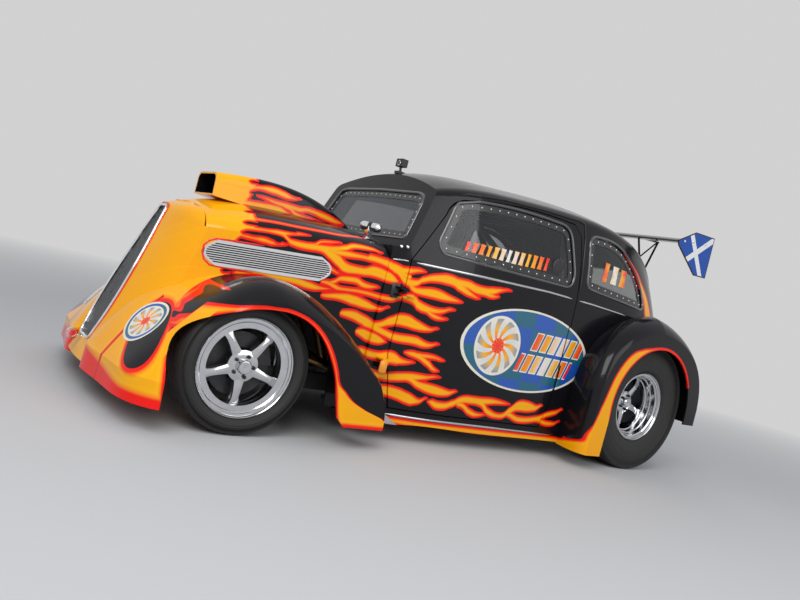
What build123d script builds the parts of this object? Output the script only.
from build123d import *
import math
import os

os.makedirs("parts", exist_ok=True)

# Drag racing saloon car. X points rearward, Y to the car's right, Z up, in millimetres.
# Lengths along X are measured from the front axle, heights from the ground, and the
# finished pieces are moved so that the origin lies midway between nose tip and tail.

# Stance
WHEELBASE = 2501
TOW_EYE_X = -530
TOW_EYE_R = 26
NOSE_TIP = TOW_EYE_X - TOW_EYE_R
TAIL_END = 3040
CAR_SHIFT = Pos(-(NOSE_TIP + TAIL_END) / 2, 0, 0)

# Wheels and tyres
FRONT_TYRE_R = 275
FRONT_TYRE_WIDTH = 176
FRONT_WHEEL_Y = 577
REAR_TYRE_R = 383
REAR_TYRE_WIDTH = 330
REAR_WHEEL_Y = 578
RIM_LIP_R = 208
RIM_WALL = 7
FRONT_RIM_WIDTH = 130
REAR_RIM_WIDTH = 282
TYRE_BEAD_R = 190
RIM_FLANGE = 8
BEAD_FIT = 0.3
FRONT_AXLE_Z = FRONT_TYRE_R + 1
REAR_AXLE_Z = REAR_TYRE_R + 1
HUB_BORE_R = 28
HUB_FIT = 0.05
SPOKES = 5

# Body shell
WALL = 32
PANEL_GAP = 6
GLASS = 5
SCUTTLE_X = 640
SHELL_OPEN_Z = -60

# Windscreen plane, seen from the side
SCREEN_BASE = (714, 941)
SCREEN_TOP = (824, 1242)

# Cabin cross sections, one row per station along X
CABIN_COLUMNS = ("x", "sill_w", "sill_z", "belt_w", "belt_z", "rail_w", "rail_z", "crown_z")
CABIN_ROWS = (
    (640, 490, 90, 505, 868, 462, 1100, 1205),
    (900, 560, 90, 574, 880, 516, 1228, 1338),
    (1300, 585, 90, 602, 896, 532, 1290, 1407),
    (1800, 590, 90, 608, 904, 534, 1322, 1452),
    (2250, 588, 90, 604, 898, 510, 1312, 1442),
    (2550, 560, 110, 582, 886, 462, 1238, 1374),
    (2740, 512, 150, 532, 842, 410, 1120, 1268),
    (2880, 440, 190, 456, 762, 340, 968, 1112),
    (2970, 360, 230, 372, 650, 270, 790, 905),
    (3040, 262, 290, 266, 500, 200, 580, 650),
)
SHOULDER = 62

# Door, seen from the side
DOOR_FRONT_X = 730
DOOR_REAR_X = 1850
DOOR_FOOT_Z = 160
DOOR_FOOT_FRONT_X = 800
DOOR_BELT_Z = 905
DOOR_TOP_FRONT = (928, 1226)
DOOR_TOP_REAR = (1828, 1312)
WINDOW_SILL_Z = 952

# Hinges: pins of the doors and of the boot lid
DOOR_PIN = (718, 574)
DOOR_PIN_R = 7
DOOR_PIN_LEVELS = (375, 718)
DOOR_KNUCKLE = 12
BOOT_PIN = (2958, 962)
BOOT_PIN_R = 5
BOOT_PIN_PLACES = (-120, 120)
PIN_FIT = 0.05

# Nose and bonnet
CREASE_FRONT = (-196, 790)
CREASE_REAR = (640, 862)
NOSE_COLUMNS = ("z", "front_x", "face_w", "cheek_x", "cheek_w", "rear_w")
NOSE_ROWS = (
    (120, -505, 150, -330, 330, 470),
    (330, -440, 142, -285, 338, 482),
    (600, -352, 120, -225, 345, 495),
    (880, -262, 84, -160, 352, 500),
)
BONNET_FRONT_X = -195
CREST_REAR_X = -182
CREST_COLUMNS = ("z", "front_x", "face_w", "rear_w")
CREST_ROWS = (
    (782, -293, 90, 347),
    (816, -282, 84, 337),
    (846, -268, 74, 306),
    (867, -240, 56, 244),
    (884, -203, 36, 120),
)
BONNET_ROWS = ((BONNET_FRONT_X, 886), (-56, 929), (83, 947), (222, 956), (361, 960), (500, 962),
               (SCUTTLE_X - 6, 962))
BONNET_SEAT = 0.3
NOSE_REAR_X = SCUTTLE_X - BONNET_SEAT
CREASE_STEP = 2.5
SKIN = 9

# Scoop on the bonnet
SCOOP_MOUTH_X = -122
SCOOP_W = 132
SCOOP_TOP_Z = 1068
SCOOP_TAIL_X = 622

# Fenders: rows from the car's side outwards
FRONT_FENDER_COLUMNS = ("y", "front_x", "drop", "tail_x", "lift")
FRONT_FENDER_ROWS = (
    (130, -497, 24, 540, 40),
    (360, -488, 6, 600, 50),
    (500, -474, 6, 634, 14),
    (620, -450, 0, 688, 0),
    (700, -402, 34, 684, 0),
    (742, -342, 78, 660, 0),
)
FENDER_INNER_Y = 200
FRONT_CROWN_Z = 646
FRONT_ARCH_TOP_Z = 537
REAR_FENDER_COLUMNS = ("y", "drop", "front_x", "rear_x")
REAR_FENDER_ROWS = (
    (520, 70, 2016, 3000),
    (620, 14, 1990, 3022),
    (715, 0, 1978, 3030),
    (775, 36, 1990, 3012),
    (802, 80, 2012, 2978),
)
REAR_CROWN_Z = 924
REAR_ARCH_R = 366

# Inner wheel spaces
TUB_R = 408
TUB_INNER_Y = 372
TUB_OUTER_Y = 560
TUB_SKIN = 5
TUB_FOOT_Z = 245
AXLE_TUNNEL_R = 64

# Frame and running gear
RAIL_Y = 300
RAIL_W = 50
RAIL_H = 80
RAIL_Z = 160
FLOOR_Z = RAIL_Z + RAIL_H
FLOOR_REAR_X = 2040
FIREWALL_X = SCUTTLE_X + WALL
REAR_CROSS_Z = 490
KINGPIN_Y = 520
KINGPIN_R = 14
ARM_RISE = 124

# Driver's place
SEAT_Y = 285
SEAT_HALF_W = 140
DASH_SHELF_HALF_W = 370

# Wing
WING_Z = 1436
WING_FRONT_X = 2655
WING_CHORD = 300
WING_HALF_SPAN = 596
PLATE_T = 6


def named(columns, row):
    """One table row as a dictionary."""
    return dict(zip(columns, row))


def bow_pull(start, mid, end):
    """The pull point of the parabola that runs from start through mid to end."""
    return tuple(2 * m - (a + b) / 2 for a, m, b in zip(start, mid, end))


def outline(at, start, *runs):
    """Closed wire from start. A run is (end,) for a line or (mid, end) for a bow."""
    edges, here = [], start
    for run in runs + ((start,),):
        end = run[-1]
        if math.dist(here, end) > 0.01:
            if len(run) == 2:
                pull = bow_pull(here, run[0], end)
                edges.append(Edge.make_bezier(at(*here), at(*pull), at(*end)))
            else:
                edges.append(Edge.make_line(at(*here), at(*end)))
        here = end
    return Wire(edges)


def side_at(y):
    return lambda x, z: Vector(x, y, z)


def cross_at(x):
    return lambda y, z: Vector(x, y, z)


def plan_at(z):
    return lambda x, y: Vector(x, y, z)


def side_prism(y0, y1, start, *runs):
    """A side outline carried across the car from y0 to y1."""
    face = Face(outline(side_at(y0), start, *runs))
    return Solid.extrude(face, Vector(0, y1 - y0, 0))


def box(x0, x1, y0, y1, z0, z1):
    """A plain block between two corners."""
    return Pos((x0 + x1) / 2, (y0 + y1) / 2, (z0 + z1) / 2) * Box(x1 - x0, y1 - y0, z1 - z0)


def tube_y(radius, x, z, y0, y1):
    """A round bar along Y."""
    return Pos(x, (y0 + y1) / 2, z) * Rot(90, 0, 0) * Cylinder(radius, abs(y1 - y0))


def rod(radius, a, b):
    """A round bar from point a to point b."""
    a, b = Vector(*a), Vector(*b)
    return Solid.make_cylinder(radius, (b - a).length, Plane(a, z_dir=b - a))


def mirrored(piece):
    """The same piece on the other side of the car."""
    return piece.mirror(Plane.XZ)


# Body shell

def cabin_section(row, inset, x):
    """Closed cross section of the cabin at one station."""
    s = named(CABIN_COLUMNS, row)
    foot_z = SHELL_OPEN_Z if inset else s["sill_z"]
    sill_z = s["sill_z"]
    sill_w, belt_w, rail_w = (s[k] - inset for k in ("sill_w", "belt_w", "rail_w"))
    rail_z, crown_z = s["rail_z"] - inset * 0.5, s["crown_z"] - inset
    bulge = ((sill_w + belt_w) / 2 + 9, (s["sill_z"] + s["belt_z"]) / 2)
    top_w = rail_w - SHOULDER
    top_z = rail_z + (crown_z - rail_z) * 0.42
    bend = (rail_w - SHOULDER * 0.30, rail_z + (top_z - rail_z) * 0.62)
    waist = ((belt_w + rail_w) / 2 + 8, (s["belt_z"] + rail_z) / 2)

    def other(p):
        return (-p[0], p[1])

    return outline(
        cross_at(x), (-sill_w, foot_z), ((sill_w, foot_z),), ((sill_w, sill_z),),
        (bulge, (belt_w, s["belt_z"])),
        (waist, (rail_w, rail_z)), (bend, (top_w, top_z)), ((0, crown_z), (-top_w, top_z)),
        (other(bend), (-rail_w, rail_z)), (other(waist), (-belt_w, s["belt_z"])),
        (other(bulge), (-sill_w, sill_z)))


def cabin_block(inset):
    """Outer form of the cabin, or its hollow when inset by the wall."""
    first, last = CABIN_ROWS[0][0], CABIN_ROWS[-1][0]
    shrink = (last - first - 2 * inset) / (last - first)
    wires = [cabin_section(row, inset, first + inset + (row[0] - first) * shrink)
             for row in CABIN_ROWS]
    return Solid.make_loft(wires)


def screen_wedge(inset):
    """The space ahead of the windscreen and above the scuttle."""
    (bx, bz), (tx, tz) = SCREEN_BASE, SCREEN_TOP
    slope = (tx - bx) / (tz - bz)
    top = 1600
    bx = bx + inset * 1.1
    return side_prism(
        -700, 700, (SCUTTLE_X - 300, bz - 22 - inset), ((SCUTTLE_X + 5, bz - 22 - inset),),
        ((bx, bz - inset),), ((bx + slope * (top - bz), top),), ((SCUTTLE_X - 300, top),))


def door_outline(gap):
    """Side outline of the door, drawn in by a gap."""
    tx, tz = DOOR_TOP_FRONT
    rx, rz = DOOR_TOP_REAR
    return (
        (DOOR_FRONT_X + gap, 420),
        ((DOOR_FRONT_X + gap, DOOR_BELT_Z - 25),),
        ((tx - 54 + gap, tz - 92),),
        ((tx - 14 + gap, tz - 24 - gap), (tx + 62, tz + 10 - gap)),
        (((tx + rx) / 2 - 30, (tz + rz) / 2 + 28 - gap), (rx - 60, rz - gap)),
        ((rx - gap, rz - 50),),
        ((DOOR_REAR_X + 8 - gap, 900), (DOOR_REAR_X - gap, 300)),
        ((DOOR_REAR_X - 34 - gap, DOOR_FOOT_Z + gap),),
        ((DOOR_FOOT_FRONT_X + gap, DOOR_FOOT_Z + gap),),
    )


def door_window_outline(inset):
    """Side outline of the door's window."""
    z = WINDOW_SILL_Z + inset
    return (
        (896 + inset, z),
        ((864 + inset, z + 36),),
        ((922 + inset, 1158 - inset),),
        ((950 + inset, 1208 - inset), (1020, 1230 - inset)),
        ((1330, 1268 - inset), (1650 - inset, 1278 - inset)),
        ((1718 - inset, 1263 - inset), (1750 - inset, 1205 - inset)),
        ((1790 - inset, 1060),),
        ((1786 - inset, 985), (1728 - inset, z + 14)),
    )


def quarter_window_outline(inset):
    """Side outline of the rear quarter window."""
    z = 968 + inset
    return (
        (1970 + inset, z + 22),
        ((1934 + inset, 1004), (1928 + inset, 1052)),
        ((1922 + inset, 1206),),
        ((1930 + inset, 1264 - inset), (1990, 1280 - inset)),
        ((2190, 1274 - inset), (2330 - inset, 1206)),
        ((2436 - inset, 1116), (2486 - inset, 1014)),
        ((2492 - inset, 974), (2450 - inset, z - 4)),
    )


def screen_cutter(inset, depth0, depth1):
    """Windscreen opening, square to the screen plane, from depth0 to depth1 behind it."""
    (bx, bz), (tx, tz) = SCREEN_BASE, SCREEN_TOP
    length = math.dist(SCREEN_BASE, SCREEN_TOP)
    up = Vector(tx - bx, 0, tz - bz).normalized()
    into = Vector(up.Z, 0, -up.X)
    foot = Vector(bx, 0, bz)
    low, high = 34 + inset, length - 30 - inset
    w_low, w_high = 452 - inset, 408 - inset

    def at(y, s):
        return foot + up * s + Vector(0, y, 0) + into * depth0

    wire = outline(
        at, (-w_low, low), ((0, low - 10), (w_low, low)), ((w_high + 16, high - 60),),
        ((w_high + 2, high - 14), (w_high - 50, high)), ((0, high + 8), (-w_high + 50, high)),
        ((-w_high - 2, high - 14), (-w_high - 16, high - 60)))
    return Solid.extrude(Face(wire), into * (depth1 - depth0))


def rear_window_cutter(inset, x0):
    """Rear window opening, carried along X."""
    w, low, high = 300 - inset, 1010 + inset, 1190 - inset
    wire = outline(
        cross_at(x0), (-w + 50, low), ((0, low - 12), (w - 50, low)), ((w, low + 8), (w, low + 60)),
        ((w - 30, high - 50),), ((w - 44, high - 8), (w - 90, high)),
        ((0, high + 14), (-w + 90, high)), ((-w + 44, high - 8), (-w + 30, high - 50)),
        ((-w, low + 60),), ((-w, low + 8), (-w + 50, low)))
    return Solid.extrude(Face(wire), Vector(700, 0, 0))


def boot_cutter(inset):
    """Boot opening, carried along X through the tail."""
    w, low, high = 270 - inset, 520 + inset, 945 - inset
    wire = outline(
        cross_at(2700), (-w + 40, low), ((w - 40, low),), ((w - 10, low + 10), (w, low + 50)),
        ((w, high - 60),), ((w - 14, high - 14), (w - 60, high)), ((-w + 60, high),),
        ((-w + 14, high - 14), (-w, high - 60)), ((-w, low + 50),),
        ((-w + 10, low + 10), (-w + 40, low)))
    return Solid.extrude(Face(wire), Vector(500, 0, 0))


OUTER = cabin_block(0) - screen_wedge(0)
INNER = cabin_block(WALL) - screen_wedge(WALL)
SKIN_WALL = OUTER - INNER


def both_sides(outline_points, y0, y1):
    """An outline cut through the left and the right wall."""
    right = side_prism(y0, y1, *outline_points)
    return right, mirrored(right)


def door_hinge_lugs(level):
    """The fixed half of a right hand door hinge: two lugs and the pin."""
    (x, y), k = DOOR_PIN, DOOR_KNUCKLE
    half = Pos(x, y, level) * Cylinder(DOOR_PIN_R, 2 * k + 20)
    for z in (level - k - 10, level + k + 1):
        half += box(x - 34, x + 9, y - 62, y + 9, z, z + 9)
    return half


def door_hinge_leaf(level):
    """The moving half of a right hand door hinge: knuckle and cranked strap."""
    (x, y), k = DOOR_PIN, DOOR_KNUCKLE
    half = Pos(x, y, level) * Cylinder(DOOR_PIN_R + 5, 2 * k)
    half += box(x, x + 54, y - 10, y + 4, level - k, level + k)
    half += box(x + 30, x + 54, y - 52, y + 4, level - k, level + k)
    return half - Pos(x, y, level) * Cylinder(DOOR_PIN_R + PIN_FIT, 3 * k)


def boot_hinge_lugs(y):
    """The fixed half of a boot hinge: two lugs on the tail and the pin."""
    x, z = BOOT_PIN
    half = tube_y(BOOT_PIN_R, x, z, y - 16, y + 16)
    for lug in (y - 16, y + 10):
        half += box(x - 32, x + 7, lug, lug + 6, z - 7, z + 12)
    return half


def boot_hinge_leaf(y):
    """The moving half of a boot hinge: knuckle and strap."""
    x, z = BOOT_PIN
    half = tube_y(BOOT_PIN_R + 5, x, z, y - 9, y + 9)
    half += box(x - 12, x + 10, y - 9, y + 9, z - 56, z)
    half -= cabin_block(-1) & box(x - 100, x + 100, y - 20, y + 20, z - 20, z + 90)
    half -= cabin_block(WALL)
    return half - tube_y(BOOT_PIN_R + PIN_FIT, x, z, y - 20, y + 20)


def body_shell():
    """Cabin shell with its openings and the fixed halves of its hinges."""
    shell = SKIN_WALL
    for points in (door_outline(0), quarter_window_outline(0)):
        for cutter in both_sides(points, 330, 720):
            shell -= cutter
    shell -= box(SCUTTLE_X - 5, SCUTTLE_X + WALL + 5, -RAIL_Y - 60, RAIL_Y + 60, SHELL_OPEN_Z,
                 RAIL_Z + RAIL_H + 12)
    shell -= screen_cutter(0, -60, 90)
    shell -= rear_window_cutter(0, 2500)
    shell -= boot_cutter(0)
    for side in (1, -1):
        shell -= tube_y(TUB_R, WHEELBASE, REAR_AXLE_Z, side * 360, side * 720)
        shell -= box(WHEELBASE - TUB_R, WHEELBASE + TUB_R, *sorted((side * 360, side * 720)),
                     SHELL_OPEN_Z, REAR_AXLE_Z)
    for level in DOOR_PIN_LEVELS:
        lugs = door_hinge_lugs(level)
        shell += [lugs, mirrored(lugs)]
    for y in BOOT_PIN_PLACES:
        shell += boot_hinge_lugs(y)
    return shell


def sheet_in_wall(depth, thickness):
    """A thin sheet that follows the cabin's surface at a depth below it."""
    return (cabin_block(depth) & OUTER) - cabin_block(depth + thickness)


def door(side):
    """Door with its window opening and the moving halves of its hinges."""
    leaf = SKIN_WALL & side_prism(330, 720, *door_outline(PANEL_GAP))
    leaf -= side_prism(330, 720, *door_window_outline(0))
    for level in DOOR_PIN_LEVELS:
        leaf += door_hinge_leaf(level)
    return leaf if side > 0 else mirrored(leaf)


def door_window(side):
    """Flat drop glass of the door, riveted into the frame."""
    pane = GLASS_SHEET & side_prism(330, 720, *door_window_outline(0.0))
    return pane if side > 0 else mirrored(pane)


def pair(piece):
    """A right hand piece together with its mirror image."""
    return Compound(children=[piece, mirrored(piece)])


def quarter_windows():
    """Fixed panes behind the doors."""
    return pair(GLASS_SHEET & side_prism(330, 720, *quarter_window_outline(0.0)))


def windscreen():
    return screen_cutter(0.0, 10, 10 + GLASS)


def rear_window():
    return GLASS_SHEET & rear_window_cutter(0.0, 2500)


def boot_lid():
    """Lid in the tail, hung from two strap hinges along its top."""
    lid = SKIN_WALL & boot_cutter(PANEL_GAP)
    for y in BOOT_PIN_PLACES:
        lid += boot_hinge_leaf(y)
    return lid


# Nose, bonnet and scoop

def nose_slice(row, inset):
    """Plan outline of the nose at one height."""
    s = named(NOSE_COLUMNS, row)
    fx, fw = s["front_x"] + inset, s["face_w"] - inset * 0.6
    cx, cw = s["cheek_x"] + inset * 0.4, s["cheek_w"] - inset
    rw, rx = s["rear_w"] - inset, NOSE_REAR_X
    bow, side = cheek_mid(fx, fw, cx, cw), flank_mid(cx, cw, rx, rw)
    return outline(
        plan_at(s["z"]), (fx, -fw), ((fx - 8, 0), (fx, fw)), (bow, (cx, cw)), (side, (rx, rw)),
        ((rx, -rw),), ((side[0], -side[1]), (cx, -cw)), ((bow[0], -bow[1]), (fx, -fw)))


def cheek_mid(fx, fw, cx, cw):
    """Middle of the rounded cheek between the face and the flank."""
    return (fx * 0.50 + cx * 0.50 - 14, fw * 0.46 + cw * 0.54 + 16)


def flank_mid(cx, cw, rx, rw):
    """Middle of the slightly bowed flank."""
    return ((cx + rx) / 2, (cw + rw) / 2 + 8)


def nose_block(inset):
    return Solid.make_loft([nose_slice(row, inset) for row in NOSE_ROWS])


def nose_row_at(z):
    """The nose's plan values at a height, between two rows of the table."""
    rows = [named(NOSE_COLUMNS, row) for row in NOSE_ROWS]
    low = max(i for i in range(len(rows) - 1) if rows[i]["z"] <= z)
    share = (z - rows[low]["z"]) / (rows[low + 1]["z"] - rows[low]["z"])
    return {k: rows[low][k] + share * (rows[low + 1][k] - rows[low][k]) for k in NOSE_COLUMNS}


def nose_half_width(x, z):
    """Half width of the nose at a place along it and a height."""
    s = nose_row_at(z)
    fx, fw, cx, cw = s["front_x"], s["face_w"], s["cheek_x"], s["cheek_w"]
    rx, rw = NOSE_REAR_X, s["rear_w"]
    if x < cx:
        a, m, b = (fx, fw), cheek_mid(fx, fw, cx, cw), (cx, cw)
    else:
        a, m, b = (cx, cw), flank_mid(cx, cw, rx, rw), (rx, rw)
    px, py = bow_pull(a, m, b)
    bend, slope = a[0] - 2 * px + b[0], px - a[0]
    reach = x - a[0]
    if abs(bend) < 1e-6:
        t = reach / (2 * slope)
    else:
        t = (-slope + math.sqrt(max(slope * slope + bend * reach, 0))) / bend
    return a[1] * (1 - t) ** 2 + 2 * t * (1 - t) * py + b[1] * t * t


def crease_z(x):
    (x0, z0), (x1, z1) = CREASE_FRONT, CREASE_REAR
    return z0 + (z1 - z0) * (x - x0) / (x1 - x0)


def under_crease(drop):
    """Everything below the bonnet's edge line."""
    return side_prism(-720, 720, (-700, -100), ((SCUTTLE_X + 100, -100),),
                      ((SCUTTLE_X + 100, crease_z(SCUTTLE_X + 100) - drop),),
                      ((-700, crease_z(-700) - drop),))


def dome_section(row, inset, seat):
    """Crowned section above the crease."""
    x, crown = row[0], row[1] - inset
    z = crease_z(x) + seat
    w = nose_half_width(x, crease_z(x)) - CREASE_STEP - inset
    foot = z - (40 if inset > 0 else 0)
    bend = (w * 0.90, z + (crown - z) * 0.42)
    top = (w * 0.72, z + (crown - z) * 0.70)
    return outline(
        cross_at(x), (-w, foot), ((w, foot),), ((w, z),), (bend, top),
        ((0, crown), (-top[0], top[1])), ((-bend[0], bend[1]), (-w, z)))


def dome_block(rows, inset, seat=0):
    return Solid.make_loft([dome_section(row, inset, seat) for row in rows])


def wheel_well(y0, y1):
    """Opening in the nose's flank where the wheel and its arms reach in."""
    return side_prism(y0, y1, (-330, -100), ((-330, 300),), ((-290, 470), (-130, 560)),
                      ((60, 590), (250, 548)), ((400, 480), (470, 330)), ((500, 200), (505, -100)))


def crest_slice(row, inset):
    """Plan outline of the rounded front end of the bonnet line at one height."""
    s = named(CREST_COLUMNS, row)
    fx, fw, cw = s["front_x"] + inset, s["face_w"] - inset * 0.6, s["rear_w"] - inset
    z = s["z"] - inset * 0.9
    cx = CREST_REAR_X
    bow = cheek_mid(fx, fw, cx, cw)
    return outline(
        plan_at(z), (fx, -fw), ((fx - 6, 0), (fx, fw)), (bow, (cx, cw)), ((cx, -cw),),
        ((bow[0], -bow[1]), (fx, -fw)))


def crest_block(inset):
    """Rounded top of the nose ahead of the bonnet."""
    block = Solid.make_loft([crest_slice(row, inset) for row in CREST_ROWS])
    return block - under_crease(0) - box(BONNET_FRONT_X, 0, -500, 500, 700, 1000)


def nose_cone():
    """Side panels, front face and crest of the nose, open below and behind."""
    cone = (nose_block(0) & under_crease(0)) - nose_block(SKIN)
    cone -= box(SCUTTLE_X - 12, SCUTTLE_X, -420, 420, -100, 2000)
    for side in (1, -1):
        cone -= wheel_well(*sorted((side * 260, side * 560)))
    cone += crest_block(0) - crest_block(SKIN)
    for side in (1, -1):
        hole = side_grille_hole(0)
        cone -= hole if side > 0 else mirrored(hole)
    return cone - grille_hole(0)


def bonnet():
    """Crowned top panel between the creases."""
    rows = ((BONNET_FRONT_X + PANEL_GAP, BONNET_ROWS[0][1] + 2),) + BONNET_ROWS[1:]
    return dome_block(rows, 0, BONNET_SEAT) - dome_block(rows, SKIN)


def stadium(length, height, lean):
    """Half extents of a round ended slot as outline runs."""
    r = height / 2
    a = length / 2 - r
    return (((-a, -r)), ((a, -r + lean),), ((a + r, lean), (a, r + lean)), ((-a, r),),
            ((-a - r, 0), (-a, -r)))


SIDE_GRILLE_MID = (97, 712)
SIDE_GRILLE_LENGTH = 560
SIDE_GRILLE_HEIGHT = 110
SIDE_GRILLE_PITCH = 4.7
SIDE_GRILLE_BARS = 10
SIDE_GRILLE_BAR_HALF = 2.2


def side_grille_slot(inset, y0, y1):
    """Round ended slot in the nose's flank, laid along the crease."""
    points = stadium(SIDE_GRILLE_LENGTH - 2 * inset, SIDE_GRILLE_HEIGHT - 2 * inset, 0)
    start, runs = points[0], points[1:]
    face = Face(outline(side_at(0), start, *runs))
    turned = face.rotate(Axis.Y, -SIDE_GRILLE_PITCH)
    x, z = SIDE_GRILLE_MID
    return Solid.extrude(turned.moved(Location((x, y0, z))), Vector(0, y1 - y0, 0))


def side_grille_hole(inset):
    return side_grille_slot(inset, 250, 620)


def flank_strip(depth0, depth1, z0, z1):
    """A level strip behind the flank's surface, between two depths."""
    x0, x1 = (SIDE_GRILLE_MID[0] + s * (SIDE_GRILLE_LENGTH / 2 - 4) for s in (-1, 1))
    xm, z = (x0 + x1) / 2, SIDE_GRILLE_MID[1]
    a, m, b = ((x, nose_half_width(x, z)) for x in (x0, xm, x1))

    def deep(p, depth):
        return (p[0], p[1] - depth)

    wire = outline(plan_at(z0), deep(a, depth0), (deep(m, depth0), deep(b, depth0)),
                   (deep(b, depth1),), (deep(m, depth1), deep(a, depth1)))
    return Solid.extrude(Face(wire), Vector(0, 0, z1 - z0))


def side_grilles():
    """Frame and thin bars of the grille in each flank."""
    x, z = SIDE_GRILLE_MID
    half = SIDE_GRILLE_HEIGHT / 2 + 40
    ring = side_grille_slot(0.3, 250, 620) - side_grille_slot(10, 250, 620)
    piece = ring & flank_strip(-3, SKIN + 4, z - half, z + half)
    rows = SIDE_GRILLE_BARS
    for i in range(rows):
        level = z - SIDE_GRILLE_HEIGHT / 2 + 12 + i * (SIDE_GRILLE_HEIGHT - 24) / (rows - 1)
        bar = flank_strip(0, SKIN + 1, level - SIDE_GRILLE_BAR_HALF, level + SIDE_GRILLE_BAR_HALF)
        bar = bar.rotate(Axis((x, 0, level), (0, 1, 0)), -SIDE_GRILLE_PITCH)
        piece += bar & side_grille_slot(6, 250, 620)
    return pair(piece)


GRILLE_LOW_Z = 202
GRILLE_HIGH_Z = 845
GRILLE_LOW_W = 95
GRILLE_MID_W = 122
GRILLE_HIGH_W = 62
GRILLE_BARS = 5
GRILLE_PITCH = 19


def grille_slot(inset, x0, x1):
    """Shield shaped opening in the nose face, carried along X."""
    low, high = GRILLE_LOW_Z + inset, GRILLE_HIGH_Z - inset
    lw, mw, hw = (w - inset for w in (GRILLE_LOW_W, GRILLE_MID_W, GRILLE_HIGH_W))
    wire = outline(
        cross_at(x0), (-lw + 30, low), ((lw - 30, low),), ((lw - 6, low + 8), (lw, low + 40)),
        ((mw, 470), (hw, high - 50)), ((hw - 8, high - 8), (hw - 36, high)),
        ((-hw + 36, high),), ((-hw + 8, high - 8), (-hw, high - 50)),
        ((-mw, 470), (-lw, low + 40)), ((-lw + 6, low + 8), (-lw + 30, low)))
    return Solid.extrude(Face(wire), Vector(x1 - x0, 0, 0))


def grille_hole(inset):
    return grille_slot(inset, -600, -200)


def face_sheet(depth0, depth1):
    """Flat sheet along the nose face between two depths."""
    low, high = named(NOSE_COLUMNS, NOSE_ROWS[0]), named(NOSE_COLUMNS, NOSE_ROWS[-1])
    a, b = (low["front_x"], low["z"]), (high["front_x"], high["z"])
    return side_prism(-200, 200, (a[0] + depth0, a[1]), ((b[0] + depth0, b[1]),),
                      ((b[0] + depth1, b[1]),), ((a[0] + depth1, a[1]),))


def nose_grille():
    """Trim ring and upright bars of the nose grille."""
    piece = (grille_hole(0.3) - grille_hole(9)) & face_sheet(-9, 8)
    bars = None
    for i in range(-GRILLE_BARS, GRILLE_BARS + 1):
        y = i * GRILLE_PITCH
        bar = box(-600, -200, y - 1.6, y + 1.6, GRILLE_LOW_Z, GRILLE_HIGH_Z)
        bars = bar if bars is None else bars + bar
    return piece + (bars & face_sheet(0, 8) & grille_hole(5))


def scoop_section(x, w, base_z, top_z):
    r = (top_z - base_z) * 0.45
    return outline(
        cross_at(x), (-w, base_z), ((w, base_z),), ((w * 0.97, top_z - r),),
        ((w * 0.90, top_z - r * 0.25), (w * 0.66, top_z)), ((-w * 0.66, top_z),),
        ((-w * 0.90, top_z - r * 0.25), (-w * 0.97, top_z - r)))


SCOOP_COLUMNS = ("x", "half_w", "base_z", "top_z")
SCOOP_ROWS = (
    (SCOOP_MOUTH_X, SCOOP_W, 936, 1042),
    (0, SCOOP_W + 8, 930, 1060),
    (290, SCOOP_W + 14, 930, SCOOP_TOP_Z),
    (470, SCOOP_W, 930, 1032),
    (SCOOP_TAIL_X, SCOOP_W - 40, 930, 972),
)


def bonnet_scoop():
    """Forward facing scoop, open at its mouth."""
    outer = Solid.make_loft([scoop_section(*row) for row in SCOOP_ROWS])
    rows = [(row[0] + (-30 if i == 0 else 0), row[1] - 12, row[2] + 8, row[3] - 12)
            for i, row in enumerate(SCOOP_ROWS[:4])]
    hollow = Solid.make_loft([scoop_section(*row) for row in rows])
    scoop = outer - hollow - dome_block(BONNET_ROWS, -BONNET_SEAT)
    return max(scoop.solids(), key=lambda s: s.volume)


# Fenders

def front_fender_profile(row, inset):
    s = named(FRONT_FENDER_COLUMNS, row)
    fx, drop, tx = s["front_x"] + inset, s["drop"] + inset, s["tail_x"] - inset
    foot = SHELL_OPEN_Z if inset else 100
    y = s["y"] - inset if row is FRONT_FENDER_ROWS[-1] else s["y"]
    if row is FRONT_FENDER_ROWS[0]:
        y = s["y"] - (20 if inset else 0)
    top = FRONT_CROWN_Z - drop
    lift = s["lift"]
    return outline(
        side_at(y), (fx, foot), ((fx + 6, 200),),
        ((fx * 0.62, 420 - drop * 0.35 + lift), (-120, top - 60 + lift * 0.4)),
        ((-30, top - 12), (60, top)),
        ((340, top - 94), (tx - 66, 300)),
        ((tx - 16, 200), (tx, 108)), ((tx, foot),))


def front_arch():
    """Wheel opening in the front fender's side."""
    return side_prism(
        480, 800, (-331, -100), ((-342, 250),), ((-318, 361), (-225, 454)),
        ((-85, FRONT_ARCH_TOP_Z - 18), (70, FRONT_ARCH_TOP_Z)),
        ((196, 502), (293, 414)), ((348, 325), (374, 255)), ((410, 140),), ((470, 85),), ((470, -100),))


def front_fender(side):
    """Clamshell fender with its apron, hollow over the wheel."""
    outer = Solid.make_loft([front_fender_profile(row, 0) for row in FRONT_FENDER_ROWS])
    inner = Solid.make_loft([front_fender_profile(row, SKIN) for row in FRONT_FENDER_ROWS])
    fender = outer - inner - front_arch() - nose_block(-BONNET_SEAT) - cabin_block(-BONNET_SEAT)
    fender -= box(FRONT_FENDER_ROWS[0][1] / 2, 900, 0, FENDER_INNER_Y, -100, 900)
    fender = max(fender.solids(), key=lambda s: s.volume)
    return fender if side > 0 else mirrored(fender)


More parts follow.
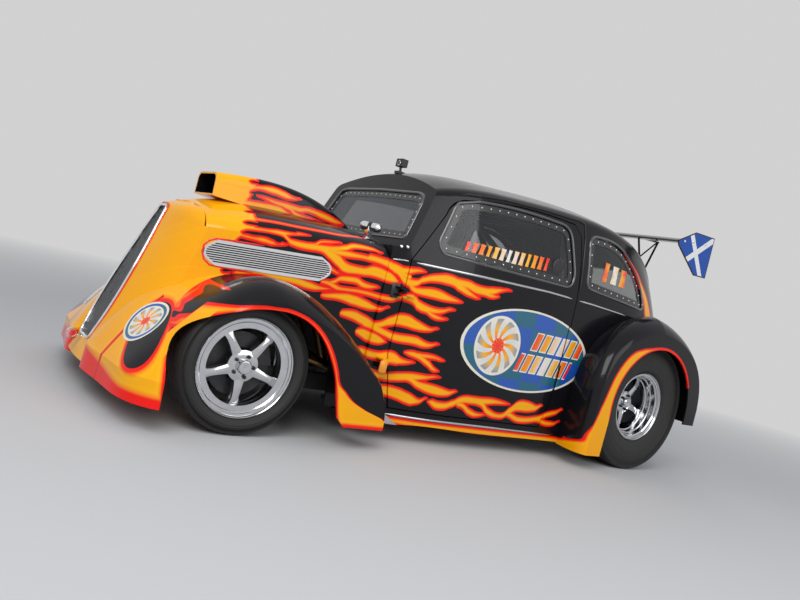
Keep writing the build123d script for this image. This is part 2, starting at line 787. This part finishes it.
def rear_fender_profile(row, inset):
    s = named(REAR_FENDER_COLUMNS, row)
    fx, rx, drop = s["front_x"] + inset, s["rear_x"] - inset, s["drop"] + inset
    foot = SHELL_OPEN_Z if inset else 84
    y = s["y"] - inset if row is REAR_FENDER_ROWS[-1] else s["y"]
    if row is REAR_FENDER_ROWS[0]:
        y = s["y"] - (20 if inset else 0)
    top = REAR_CROWN_Z - drop
    return outline(
        side_at(y), (fx, foot), ((fx, 440),),
        ((fx + 130, 760 - drop * 0.6), (2450, top)),
        ((2830, 780 - drop * 0.7), (rx, 430)), ((rx, foot),))


def rear_arch():
    return (tube_y(REAR_ARCH_R, WHEELBASE, REAR_AXLE_Z, 480, 900)
            + side_prism(480, 900, (2128, -100), ((2140, REAR_AXLE_Z),), ((2800, REAR_AXLE_Z),),
                         ((2868, REAR_AXLE_Z),), ((2868, 330),), ((3100, 330),), ((3100, -100),)))


def rear_fender(side):
    outer = Solid.make_loft([rear_fender_profile(row, 0) for row in REAR_FENDER_ROWS])
    inner = Solid.make_loft([rear_fender_profile(row, SKIN) for row in REAR_FENDER_ROWS])
    fender = outer - inner - rear_arch() - cabin_block(-BONNET_SEAT)
    fender = max(fender.solids(), key=lambda s: s.volume)
    return fender if side > 0 else mirrored(fender)


# Wheels

def spin(points):
    """Revolve a closed outline given as (axial, radial) about the Y axis."""
    wire = Wire.make_polygon([Vector(0, a, r) for a, r in points], close=True)
    return Solid.revolve(Face(wire), 360, Axis.Y)


def tyre(radius, width, rim_width):
    """Tyre with its beads between the rim's flanges, hollow and open to the rim."""
    h, b = width / 2, rim_width / 2 - RIM_FLANGE - BEAD_FIT
    bead, lip = TYRE_BEAD_R, RIM_LIP_R + BEAD_FIT
    outer = [(b, lip), (h - 3, lip + 16), (h, (lip + radius) / 2), (h - 5, radius - 14),
             (h - 22, radius)]
    inner = [(b, bead), (b - 12, bead), (b - 10, lip + 14), (h - 20, radius - 16)]
    loop = inner[::-1] + outer + [(-y, r) for y, r in outer[::-1] + inner]
    return spin(loop)


def barrel(width, steps):
    """Wheel barrel, outboard towards +Y, stepped inwards from its lip."""
    h = width / 2
    flange, seat_r = h - RIM_FLANGE, TYRE_BEAD_R - BEAD_FIT
    outer = [(-h, RIM_LIP_R), (-flange, RIM_LIP_R), (-flange, seat_r), (-flange + 26, seat_r),
             (0, seat_r - 24), (flange - 26, seat_r), (flange, seat_r), (flange, RIM_LIP_R),
             (h, RIM_LIP_R)]
    inner = [(h, RIM_LIP_R - RIM_WALL)] + steps
    inner += [(-h + 40, TYRE_BEAD_R - 34), (-h, TYRE_BEAD_R - 14)]
    return spin(outer + inner)


def spoke(y0, y1, root_w, tip_w, r0, r1, t):
    """One tapered spoke from the hub pad to the barrel, up the Z axis."""
    wires = []
    for r, w, y in ((r0, root_w, y0), (r1, tip_w, y1)):
        wires.append(Wire.make_polygon(
            [Vector(-w / 2, y - t, r), Vector(w / 2, y - t, r), Vector(w * 0.32, y, r),
             Vector(-w * 0.32, y, r)], close=True))
    return Solid.make_loft(wires, ruled=True)


def front_rim():
    """Five spoke wheel with a stepped polished lip."""
    h = FRONT_RIM_WIDTH / 2
    steps = [(h - 16, TYRE_BEAD_R - 2), (h - 18, TYRE_BEAD_R - 16), (h - 34, TYRE_BEAD_R - 18),
             (h - 36, TYRE_BEAD_R - 34)]
    rim = barrel(FRONT_RIM_WIDTH, steps)
    rim += spin([(-4, HUB_BORE_R + HUB_FIT), (h - 44, HUB_BORE_R + HUB_FIT),
                 (h - 44, 58), (h - 52, 70), (-4, 70)])
    for i in range(SPOKES):
        arm = spoke(h - 46, h - 38, 46, 62, 50, TYRE_BEAD_R - 30, 20)
        rim += Rot(0, 360 / SPOKES * i, 0) * arm
    return rim


def rear_rim():
    """Deep dished wheel with a stepped barrel and a spoked centre."""
    h = REAR_RIM_WIDTH / 2
    steps = [(h - 20, TYRE_BEAD_R - 2), (h - 22, TYRE_BEAD_R - 16), (h - 52, TYRE_BEAD_R - 18),
             (h - 54, TYRE_BEAD_R - 32), (h - 88, TYRE_BEAD_R - 34)]
    rim = barrel(REAR_RIM_WIDTH, steps)
    deep = h - 112
    rim += spin([(-4, HUB_BORE_R + HUB_FIT), (deep, HUB_BORE_R + HUB_FIT), (deep, 62),
                 (deep - 10, 78), (-4, 78)])
    for i in range(SPOKES):
        arm = spoke(deep - 6, deep, 50, 70, 56, TYRE_BEAD_R - 34, 20)
        rim += Rot(0, 360 / SPOKES * i, 0) * arm
    return rim


def place_wheel(piece, side, x, y, z):
    placed = Pos(x, y, z) * piece
    return placed if side > 0 else mirrored(placed)


# Running gear

def front_knuckle(side):
    """Upright with its kingpin eye, stub axle, brake disc and caliper."""
    z = FRONT_AXLE_Z
    hub_y = FRONT_WHEEL_Y - 8
    knuckle = tube_y(HUB_BORE_R, 0, z, KINGPIN_Y - 20, hub_y + 32)
    knuckle += tube_y(46, 0, z, KINGPIN_Y - 22, KINGPIN_Y + 22)
    knuckle += box(-22, 22, KINGPIN_Y - 20, KINGPIN_Y + 16, z - 112, z + 112)
    knuckle += tube_y(134, 0, z, KINGPIN_Y + 24, KINGPIN_Y + 34)
    knuckle += tube_y(60, 0, z, KINGPIN_Y + 20, KINGPIN_Y + 26)
    knuckle += side_prism(KINGPIN_Y + 8, KINGPIN_Y + 46, (40, z + 60), ((112, z + 96),),
                          ((142, z + 10),), ((60, z + 10),))
    knuckle -= Pos(0, KINGPIN_Y, z) * Cylinder(KINGPIN_R + 0.05, 300)
    return knuckle if side > 0 else mirrored(knuckle)


def front_suspension():
    """Crossmember, wishbones, kingpins and coil spring struts."""
    z = FRONT_AXLE_Z
    part = box(-45, 45, -RAIL_Y + RAIL_W / 2, RAIL_Y - RAIL_W / 2, RAIL_Z, RAIL_Z + RAIL_H)
    for side in (1, -1):
        y0, y1 = side * (RAIL_Y + RAIL_W / 2), side * KINGPIN_Y
        arm_y = side * (KINGPIN_Y - 10)
        for level, spread in ((z - ARM_RISE, 150), (z + ARM_RISE, 100)):
            for end in (-spread, spread):
                part += rod(11, (end, y0 + side * 9.5, level), (0, arm_y, level))
                part += box(end - 18, end + 18, *sorted((y0, y0 + side * 10)),
                            min(level - 14, RAIL_Z + 10), max(level + 14, RAIL_Z + 30))
            part += Pos(0, y1, level) * Cylinder(24, 22)
        part += Pos(0, y1, z) * Cylinder(KINGPIN_R, 2 * ARM_RISE)
        part += rod(26, (0, side * 452, z - 96), (-10, side * 392, z + 180))
        part += rod(9, (0, side * 458, z - ARM_RISE), (-14, side * 380, z + 236))
        part += box(-40, 12, *sorted((y0, side * 400)), z + 226, z + 244)
        part += box(-40, 12, *sorted((y0, y0 + side * 10)), RAIL_Z + 10, z + 244)
    return part


def chassis_frame():
    """Two rails with crossmembers from the nose to the tail."""
    part = None
    for side in (1, -1):
        y0, y1 = sorted((side * (RAIL_Y - RAIL_W / 2), side * (RAIL_Y + RAIL_W / 2)))
        rail = box(-300, 2040, y0, y1, RAIL_Z, RAIL_Z + RAIL_H)
        rail += side_prism(y0, y1, (2040, RAIL_Z), ((2040, RAIL_Z + RAIL_H),), ((2220, 560),),
                           ((2860, 560),), ((2860, 480),), ((2270, 480),), ((2120, RAIL_Z),))
        part = rail if part is None else part + rail
    for x in (-280, 690, 1300, 1900):
        part += box(x, x + 50, -RAIL_Y, RAIL_Y, RAIL_Z + 8, RAIL_Z + RAIL_H - 8)
    for x in (2590, 2810):
        part += box(x, x + 50, -RAIL_Y, RAIL_Y, REAR_CROSS_Z, REAR_CROSS_Z + 60)
    return part


def floor_pan():
    """Cabin floor with its tunnel, seated on the rails and the firewall."""
    z, front = FLOOR_Z, FIREWALL_X + BONNET_SEAT
    part = box(front, FLOOR_REAR_X, -520, 520, z, z + 4) & cabin_block(WALL + PANEL_GAP)
    part += box(front, front + 40, -400, 400, z, z + 4)
    part += side_prism(-110, 110, (front, z), ((front, z + 190),), ((1000, z + 130),),
                       ((FLOOR_REAR_X, z + 130),), ((FLOOR_REAR_X, z),))
    return part


def tub_form(radius, y0, y1):
    """Half round form over the wheel, straight down to the tub's foot."""
    form = side_prism(y0, y1, (WHEELBASE - radius, TUB_FOOT_Z),
                      ((WHEELBASE - radius, REAR_AXLE_Z),), ((WHEELBASE + radius, REAR_AXLE_Z),),
                      ((WHEELBASE + radius, TUB_FOOT_Z),))
    return form + tube_y(radius, WHEELBASE, REAR_AXLE_Z, y0, y1) - box(
        WHEELBASE - 2 * radius, WHEELBASE + 2 * radius, y0 - 5, y1 + 5, -200, TUB_FOOT_Z)


def rear_tubs():
    """Sheet metal tubs over the rear wheels."""
    radius = TUB_R - 1
    tub = tub_form(radius, TUB_INNER_Y, TUB_OUTER_Y)
    tub -= tub_form(radius - TUB_SKIN, TUB_INNER_Y + TUB_SKIN, TUB_OUTER_Y + 5)
    tub -= box(WHEELBASE - radius + TUB_SKIN, WHEELBASE + radius - TUB_SKIN,
               TUB_INNER_Y + TUB_SKIN, TUB_OUTER_Y + 5, TUB_FOOT_Z - 5, TUB_FOOT_Z + 5)
    tub -= tube_y(AXLE_TUNNEL_R, WHEELBASE, REAR_AXLE_Z, TUB_INNER_Y - 5,
                  TUB_INNER_Y + TUB_SKIN + 5)
    return pair(tub & cabin_block(WALL + BONNET_SEAT))


def rear_axle():
    """Axle housing with its centre casing, stubs and discs."""
    z, x = REAR_AXLE_Z, WHEELBASE
    part = tube_y(40, x, z, -440, 440) + Pos(x - 20, 0, z) * Sphere(125)
    part += rod(48, (x - 150, 0, z - 6), (x - 90, 0, z))
    for side in (1, -1):
        part += tube_y(HUB_BORE_R, x, z, side * 430, side * (REAR_WHEEL_Y + 20))
        part += tube_y(140, x, z, side * 446, side * 458)
        part += box(x - 20, x + 100, *sorted((side * 196, side * 208)), z - 60, z + 20)
        part += rod(30, (x + 76, side * 222, z - 40), (x + 104, side * 222, z + 88))
        part += rod(10, (x + 74, side * 222, z - 52), (x + 105, side * 222, z + 98))
        part += box(x + 92, x + 130, *sorted((side * 206, side * 238)), z + 88,
                    REAR_CROSS_Z - BEAD_FIT)
    return part


def engine_block():
    """Engine and gearbox as one plain mass on four feet over the rails."""
    part = box(40, 560, -230, 230, 250, 760) + box(560, 636, -120, 120, 260, 560)
    foot = RAIL_Z + RAIL_H + BEAD_FIT
    for x in (70, 470):
        part += box(x, x + 50, -RAIL_Y, -220, foot, foot + 26)
        part += box(x, x + 50, 220, RAIL_Y, foot, foot + 26)
    return part


def exhaust_headers():
    """Four pipes a side that sweep down behind the front wheel to a collector."""
    part = None
    for side in (1, -1):
        end = Vector(548, side * 380, 286)
        for i in range(4):
            x = 120 + i * 105
            route = ((x, side * 230.3, 500), (x + 4, side * 290, 505),
                     (x + 90 - i * 12, side * 368, 360 - i * 12), tuple(end))
            for a, b in zip(route, route[1:]):
                pipe = rod(21, a, b)
                part = pipe if part is None else part + pipe
            for knee in route[1:-1]:
                part += Pos(*knee) * Sphere(21)
        part += rod(44, tuple(end - Vector(8, 0, 0)), (632, side * 380, 286))
    return part - box(-50, 640, -230.2, 230.2, 200, 800)


CAGE_TUBE_R = 21
CAGE_JOINT_R = 22


def roll_cage():
    """Main hoop, roof and pillar bars, stays and door bars."""
    r, hoop_x, foot_z = CAGE_TUBE_R, 1850, FLOOR_Z + 4
    part = None

    def add(*points):
        nonlocal part
        for a, b in zip(points, points[1:]):
            piece = rod(r, a, b) + Pos(*b) * Sphere(CAGE_JOINT_R)
            part = piece if part is None else part + piece

    for side in (1, -1):
        low, high = side * 500, side * 400
        add((hoop_x, low, foot_z + 2), (hoop_x, low, 900), (hoop_x, high, 1300))
        add((730, side * 420, foot_z + 2), (766, side * 430, 870), (890, side * 380, 1200),
            (hoop_x, high, 1300))
        add((766, side * 448, 620), (hoop_x, low, 470))
        add((hoop_x, high, 1290), (2400, side * 330, 590))
    add((hoop_x, -400, 1300), (hoop_x, 400, 1300))
    add((890, -380, 1200), (890, 380, 1200))
    add((hoop_x, -500, 700), (hoop_x, 500, 700))
    add((hoop_x + 4, 390, 1276), (hoop_x + 4, -486, 724))
    return part & cabin_block(WALL + 2)


def driver_seat():
    """Bucket with high sides, on the car's right."""
    y, half, z = SEAT_Y, SEAT_HALF_W, RAIL_Z + RAIL_H + 4.3
    base = side_prism(y - half, y + half, (1250, z), ((1250, 420),), ((1600, 400),),
                      ((1640, z),))
    back = side_prism(y - half, y + half, (1560, z + 40), ((1580, 460),), ((1700, 1050),),
                      ((1760, 1050),), ((1670, z + 40),))
    seat = base + back
    for s in (-1, 1):
        y0, y1 = sorted((y + s * half, y + s * (half + 15)))
        seat += side_prism(y0, y1, (1250, z), ((1245, 500), (1400, 520)), ((1540, 560),),
                           ((1640, 900),), ((1740, 900),), ((1680, z),))
    return seat


COLUMN_HUB = Vector(1150, SEAT_Y, 905)
COLUMN_AXIS = Vector(-0.90, 0, -0.42).normalized()
COLUMN_R = 20


def column_point(reach):
    """A point on the steering column, a reach ahead of the wheel's hub."""
    return tuple(COLUMN_HUB + COLUMN_AXIS * reach)


def steering_wheel():
    """Wheel and column."""
    plane = Plane(COLUMN_HUB, z_dir=COLUMN_AXIS)
    part = Solid.make_torus(145, 13, plane) + rod(COLUMN_R, column_point(-6), column_point(300))
    for angle in (90, 210, 330):
        turn = math.radians(angle)
        tip = plane.from_local_coords(Vector(145 * math.cos(turn), 145 * math.sin(turn), 0))
        part += rod(9, column_point(0), tuple(tip))
    return part


def dash_panel():
    """Dashboard across the cabin with the sleeve that carries the steering column."""
    dash = side_prism(-396, 396, (790, 770), ((790, 925),), ((850, 938),), ((892, 900),),
                      ((872, 770),))
    dash += box(FIREWALL_X, 800, -DASH_SHELF_HALF_W, DASH_SHELF_HALF_W, 868, 876)
    dash = dash & cabin_block(WALL + BONNET_SEAT)
    dash += rod(COLUMN_R + 14, column_point(230), column_point(360))
    return dash - rod(COLUMN_R + 0.4, column_point(200), column_point(304))


# Wing and small fittings

def wing_blade():
    """Lifting blade on two triangular struts."""
    x, z, c = WING_FRONT_X, WING_Z, WING_CHORD
    blade = side_prism(-WING_HALF_SPAN, WING_HALF_SPAN, (x, z),
                       ((x + c * 0.35, z + 26), (x + c, z + 44)), ((x + c, z + 40),),
                       ((x + c * 0.35, z - 8), (x, z)))
    for side in (1, -1):
        y0, y1 = sorted((side * 266, side * 274))
        blade += side_prism(y0, y1, (x + 20, z), ((x + 250, z + 12),), ((x + 175, 1190),),
                            ((x + 115, 1190),))
    return blade - cabin_block(-0.3)


def wing_plates():
    """End plates."""
    part = None
    for side in (1, -1):
        y0 = side * (WING_HALF_SPAN + 0.0)
        y1 = side * (WING_HALF_SPAN + PLATE_T)
        plate = side_prism(*sorted((y0, y1)), (2640, 1439), ((2808, 1528),), ((3019, 1538),),
                           ((3021, 1270),), ((2890, 1263),), ((2653, 1410),))
        part = plate if part is None else part + plate
    return part


def tow_eye():
    """Oval eye under the grille."""
    ring = Pos(TOW_EYE_X, 0, 206) * Rot(90, 0, 0) * (Cylinder(TOW_EYE_R, 12) - Cylinder(15, 20))
    return (ring + rod(7, (TOW_EYE_X + 18, 0, 202), (-470, 0, 190))) - nose_block(-BONNET_SEAT)


def cowl_pod():
    """Capsule gauge pod on its bracket, ahead of the windscreen."""
    y, z = -300, 990
    body = rod(22, (600, y + 30, z), (640, y - 30, z)) + Pos(600, y + 30, z) * Sphere(22)
    body += Pos(640, y - 30, z) * Sphere(22)
    body += box(600, 630, y - 12, y + 12, 900, z)
    return body - dome_block(BONNET_ROWS, -BONNET_SEAT)


def roof_camera():
    """Small camera on its clip mount above the windscreen."""
    x, y, z = 905, 0, 1342
    part = box(x - 24, x + 24, y - 22, y + 22, z - 8, z + 6)
    part += rod(7, (x, y, z), (x - 6, y, z + 34))
    part += box(x - 22, x + 16, y - 30, y + 30, z + 32, z + 74)
    return part - cabin_block(-BONNET_SEAT)


def sided_pieces():
    """The pieces that are built once for each side."""
    made = {}
    for side, name in ((1, "right"), (-1, "left")):
        made[f"front_fender_{name}"] = front_fender(side)
        made[f"rear_fender_{name}"] = rear_fender(side)
        made[f"door_{name}"] = door(side)
        made[f"door_window_{name}"] = door_window(side)
        made[f"front_knuckle_{name}"] = front_knuckle(side)
        for stem, piece in FRONT_WHEEL.items():
            made[f"{stem}_{name}"] = place_wheel(piece, side, 0, FRONT_WHEEL_Y, FRONT_AXLE_Z)
        for stem, piece in REAR_WHEEL.items():
            made[f"{stem}_{name}"] = place_wheel(piece, side, WHEELBASE, REAR_WHEEL_Y,
                                                 REAR_AXLE_Z)
    return made


GLASS_SHEET = sheet_in_wall(8, GLASS)
FRONT_WHEEL = {
    "front_rim": front_rim(),
    "front_tyre": tyre(FRONT_TYRE_R, FRONT_TYRE_WIDTH, FRONT_RIM_WIDTH),
}
REAR_WHEEL = {
    "rear_rim": rear_rim(),
    "rear_tyre": tyre(REAR_TYRE_R, REAR_TYRE_WIDTH, REAR_RIM_WIDTH),
}

pieces = {
    "body_shell": body_shell(),
    "boot_lid": boot_lid(),
    "windscreen": windscreen(),
    "rear_window": rear_window(),
    "nose_cone": nose_cone(),
    "bonnet": bonnet(),
    "bonnet_scoop": bonnet_scoop(),
    "nose_grille": nose_grille(),
    "chassis_frame": chassis_frame(),
    "floor_pan": floor_pan(),
    "engine_block": engine_block(),
    "exhaust_headers": exhaust_headers(),
    "roll_cage": roll_cage(),
    "driver_seat": driver_seat(),
    "steering_wheel": steering_wheel(),
    "dash_panel": dash_panel(),
    "front_suspension": front_suspension(),
    "rear_axle": rear_axle(),
    "rear_tubs": rear_tubs(),
    "side_grilles": side_grilles(),
    "quarter_windows": quarter_windows(),
    "wing_blade": wing_blade(),
    "wing_plates": wing_plates(),
    "tow_eye": tow_eye(),
    "cowl_pod": cowl_pod(),
    "roof_camera": roof_camera(),
    **sided_pieces(),
}

for name, piece in pieces.items():
    export_step(CAR_SHIFT * piece, f"parts/{name}.step")
